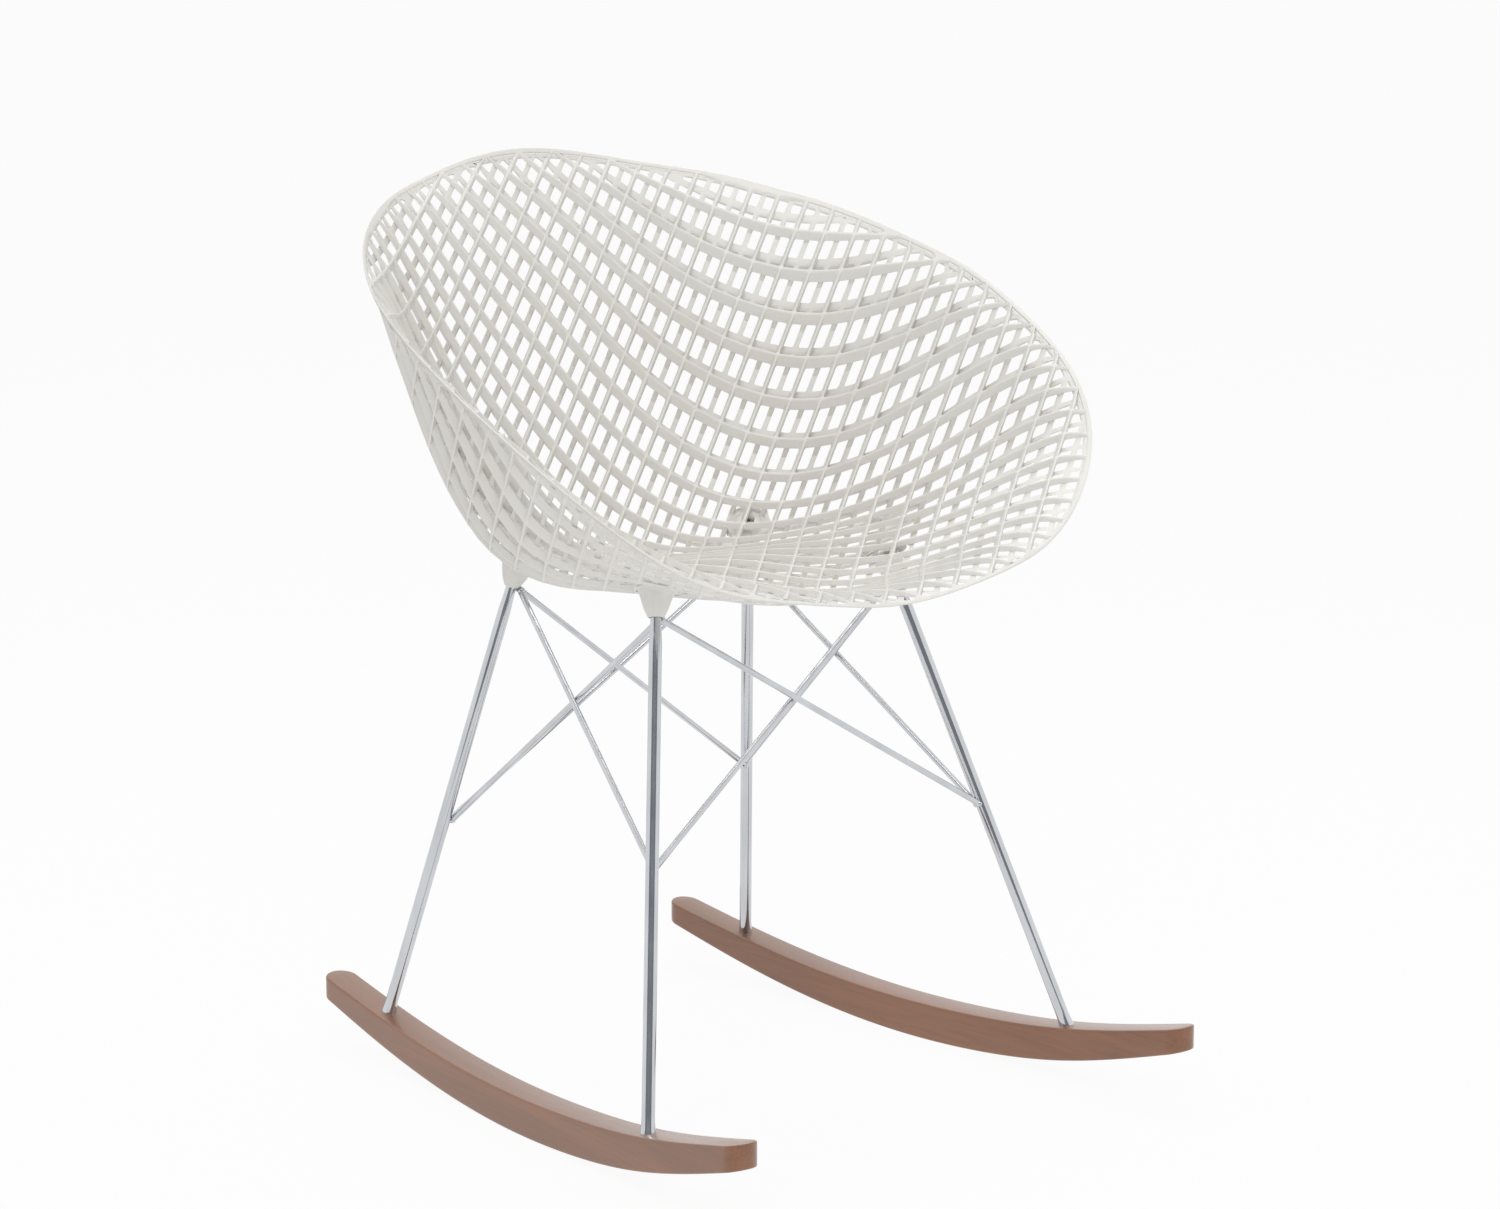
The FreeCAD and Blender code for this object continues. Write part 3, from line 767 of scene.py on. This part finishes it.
def weldBeads():
    # a small rounded bead of weld at each end of each brace
    turn = np.linspace(-0.5, 0.5, bead["rings"]) * math.pi
    up = np.array([0.0, bead["tilt"], 1.0]) / math.hypot(bead["tilt"], 1.0)
    heights, radii = bead["halfHeight"] * np.sin(turn), bead["radius"] * np.cos(turn) + bead["least"]
    addChrome("weldBeads", [tube(place, up, heights, radii, bead["sides"]) for place in beadPlaces], [])


beadPlaces = []
for end, side in corners:
    rodLeg(end, side)
for side in sideSign:
    crossedBraces(side, ("rear", side), ("front", side))
for end in ("front", "rear"):
    crossedBraces(end, (end, "left"), (end, "right"))
weldBeads()
print("legs and braces made")


# Rockers

def rockerBoard(side):
    # rings of the plan's outline, a straight board with round ends, stacked from the sole to the top face.
    # The first and last rings draw in along quarter circles, which rounds the board's edges.
    half, softness = board["thickness"] / 2, board["round"]
    straight = board["length"] / 2 - half
    quarter = np.linspace(0, math.pi / 2, board["roundSteps"] + 1)
    flat = np.zeros(board["rows"] - 1)
    between = np.linspace(0, 1, board["rows"] + 1)[1:-1]
    insets = softness * np.concatenate([1 - np.sin(quarter), flat, 1 - np.cos(quarter)])
    share = np.concatenate([0 * quarter, between, 0 * quarter + 1])
    lift = softness * np.concatenate([-np.cos(quarter), flat, np.sin(quarter)])
    endTurn = np.linspace(0, math.pi / 2, board["endSteps"] + 1)
    middle = np.linspace(-straight, straight, board["alongSteps"] + 1)[1:-1]
    radius = half - insets[:, None]
    sine, cosine = np.sin(endTurn), np.cos(endTurn)
    x = np.concatenate([radius * sine, radius * np.ones(len(middle)), radius * cosine], 1)
    y = np.concatenate([-straight - radius * cosine, 0 * radius + middle, straight + radius * sine], 1)
    width = x.shape[1]
    x = np.concatenate([x, -x[:, -2:0:-1]], 1)
    y = np.concatenate([y, y[:, -2:0:-1]], 1)
    sole = np.maximum(through(board["sole"], y.ravel()), 0).reshape(y.shape)
    face = through(board["top"], y.ravel()).reshape(y.shape)
    lowest, highest = sole + softness, face - softness
    z = lowest + (highest - lowest) * share[:, None] + lift[:, None]
    around = x.shape[1]
    index = np.arange(x.size).reshape(x.shape)
    a, b = index[:-1], np.roll(index[:-1], -1, 1)
    d, e = index[1:], np.roll(index[1:], -1, 1)
    quads, tips = [np.stack([a, b, e, d], -1).reshape(-1, 4)], []
    # sole and top face: strips from each point of one side to the one opposite it, and a triangle at each tip
    right = np.arange(1, width - 1)
    left = around - right
    for row, flip in ((index[0], True), (index[-1], False)):
        strip = np.stack([row[right[:-1]], row[right[1:]], row[left[1:]], row[left[:-1]]], -1)
        quads.append(strip[:, ::-1] if flip else strip)
        tip = np.array([[row[0], row[1], row[-1]], [row[width - 1], row[width], row[width - 2]]])
        tips.append(tip[:, ::-1] if flip else tip)
    sign = sideSign[side]
    turn = sign * base["toe"]
    c, s = math.cos(turn), math.sin(turn)
    points = np.stack([x * c - y * s + sign * base["halfSpacing"], x * s + y * c, z], -1).reshape(-1, 3) * mm
    piece = addMesh("rocker" + side.capitalize(), points, [np.concatenate(quads), np.concatenate(tips)], wood)
    # the board's own coordinates before it is toed, moved so that the two boards differ in figure
    grain = np.stack([x, y, z], -1).reshape(-1, 3) * mm + sign
    layer = piece.data.attributes.new("grain", "FLOAT_VECTOR", "POINT")
    layer.data.foreach_set("vector", np.ascontiguousarray(grain, np.float32).ravel())
    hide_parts("rocker_" + side)


for side in sideSign:
    rockerBoard(side)
print("rockers made")


# Screws and washers

for name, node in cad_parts.items():
    if "screw" in name or "washer" in name:
        node.data.materials.clear()
        node.data.materials.append(steel)
print("screws and washers dressed")


# Stage, light and camera

# Place and sensor in millimetres, angles in degrees, far clip in metres, the rest in pixels of the frame.
view = {
    "x": -2218.1, "y": -2719.9, "z": 1127.1, "azimuth": -39.39, "elevation": 11.29,
    "focal": 4259.8, "width": 1500, "height": 1209, "middleX": 743.2, "middleY": 591.7,
    "sensor": 36.0, "clipEnd": 50,
}
# Metres and watts.
studio = {
    "floorReach": 60.0, "floorTone": 0.8, "floorRough": 0.9, "floorGlow": 0.94, "ambient": 0.45, "seen": 1.0,
    "cardTone": (0.25, 0.26, 0.28), "cardAway": 0.95, "cardHalf": 1.0, "cardLow": 0.001, "cardHigh": 1.1,
    "lampAim": (0, 0, 0.4),
    "keyLamp": {"place": (-1.6, -2.2, 3.0), "size": 2.4, "power": 60},
    "topLamp": {"place": (0.6, 0.8, 3.2), "size": 2.6, "power": 40},
}


def addCamera():
    data = bpy.data.cameras.new("camera")
    data.sensor_fit = "HORIZONTAL"
    data.sensor_width = view["sensor"]
    data.lens = view["focal"] / view["width"] * data.sensor_width
    data.shift_x = (view["width"] / 2 - view["middleX"]) / view["width"]
    data.shift_y = -(view["height"] / 2 - view["middleY"]) / view["width"]
    data.clip_end = view["clipEnd"]
    camera = bpy.data.objects.new("camera", data)
    camera.location = (view["x"] * mm, view["y"] * mm, view["z"] * mm)
    camera.rotation_euler = (math.radians(90 - view["elevation"]), 0, math.radians(view["azimuth"]))
    bpy.context.scene.collection.objects.link(camera)
    bpy.context.scene.camera = camera


def addSheet(name, points, material):
    # a flat four-cornered sheet of the studio
    mesh = bpy.data.meshes.new(name)
    mesh.from_pydata(points, [], [(0, 1, 2, 3)])
    mesh.materials.append(material)
    sheet = bpy.data.objects.new(name, mesh)
    bpy.context.scene.collection.objects.link(sheet)
    return sheet


def addFloor():
    # paper that mostly glows, so that it reads nearly as white as the background and takes a faint shadow
    material, nodes, links, shader = newMaterial("studioFloor")
    tone, reach = studio["floorTone"], studio["floorReach"]
    shader.inputs["Base Color"].default_value = (tone, tone, tone, 1)
    shader.inputs["Roughness"].default_value = studio["floorRough"]
    glow = nodes.new("ShaderNodeEmission")
    mix = nodes.new("ShaderNodeMixShader")
    mix.inputs["Fac"].default_value = studio["floorGlow"]
    links.new(shader.outputs[0], mix.inputs[1])
    links.new(glow.outputs[0], mix.inputs[2])
    links.new(mix.outputs[0], nodes["Material Output"].inputs["Surface"])
    points = [(-reach, -reach, 0), (reach, -reach, 0), (reach, reach, 0), (-reach, reach, 0)]
    floor = addSheet("studioFloor", points, material)


def addCard():
    # a dark card between chair and camera that only reflections see: it puts the dark line down each rod
    material, nodes, links, _ = newMaterial("darkCard")
    glow = nodes.new("ShaderNodeEmission")
    glow.inputs["Color"].default_value = (*studio["cardTone"], 1)
    links.new(glow.outputs[0], nodes["Material Output"].inputs["Surface"])
    turn = math.radians(view["azimuth"])
    ahead = np.array([math.sin(turn), -math.cos(turn), 0.0])
    side, up = np.array([ahead[1], -ahead[0], 0.0]), np.array([0.0, 0.0, 1.0])
    half, low, high = studio["cardHalf"], studio["cardLow"], studio["cardHigh"]
    corner = [
        tuple(ahead * studio["cardAway"] + side * a + up * b)
        for a, b in ((-half, low), (half, low), (half, high), (-half, high))
    ]
    card = addSheet("darkCard", corner, material)
    card.visible_camera = False
    card.visible_diffuse = False
    card.visible_shadow = False
    card.visible_transmission = False


def addLamp(name):
    lampLook = studio[name]
    data = bpy.data.lights.new(name, "AREA")
    data.shape = "RECTANGLE"
    data.size = data.size_y = lampLook["size"]
    data.energy = lampLook["power"]
    lamp = bpy.data.objects.new(name, data)
    lamp.location = lampLook["place"]
    towards = np.array(studio["lampAim"]) - np.array(lampLook["place"])
    lamp.rotation_euler = Vector(towards).to_track_quat("-Z", "Y").to_euler()
    bpy.context.scene.collection.objects.link(lamp)


def addWorld():
    # camera and reflections see plain white, all other light from around is dimmer
    world = bpy.data.worlds.new("studio")
    bpy.context.scene.world = world
    world.use_nodes = True
    nodes, links = world.node_tree.nodes, world.node_tree.links
    ambient = nodes["Background"]
    ambient.inputs["Color"].default_value = (1, 1, 1, 1)
    ambient.inputs["Strength"].default_value = studio["ambient"]
    seen = nodes.new("ShaderNodeBackground")
    seen.inputs["Color"].default_value = (1, 1, 1, 1)
    seen.inputs["Strength"].default_value = studio["seen"]
    path = nodes.new("ShaderNodeLightPath")
    seenBy = nodes.new("ShaderNodeMath")
    seenBy.operation = "MAXIMUM"
    mix = nodes.new("ShaderNodeMixShader")
    links.new(path.outputs["Is Camera Ray"], seenBy.inputs[0])
    links.new(path.outputs["Is Glossy Ray"], seenBy.inputs[1])
    links.new(seenBy.outputs[0], mix.inputs["Fac"])
    links.new(ambient.outputs[0], mix.inputs[1])
    links.new(seen.outputs[0], mix.inputs[2])
    links.new(mix.outputs[0], nodes["World Output"].inputs["Surface"])


addFloor()
addCard()
addWorld()
addLamp("keyLamp")
addLamp("topLamp")
addCamera()
bpy.context.scene.view_settings.view_transform = "Standard"
print("stage made")
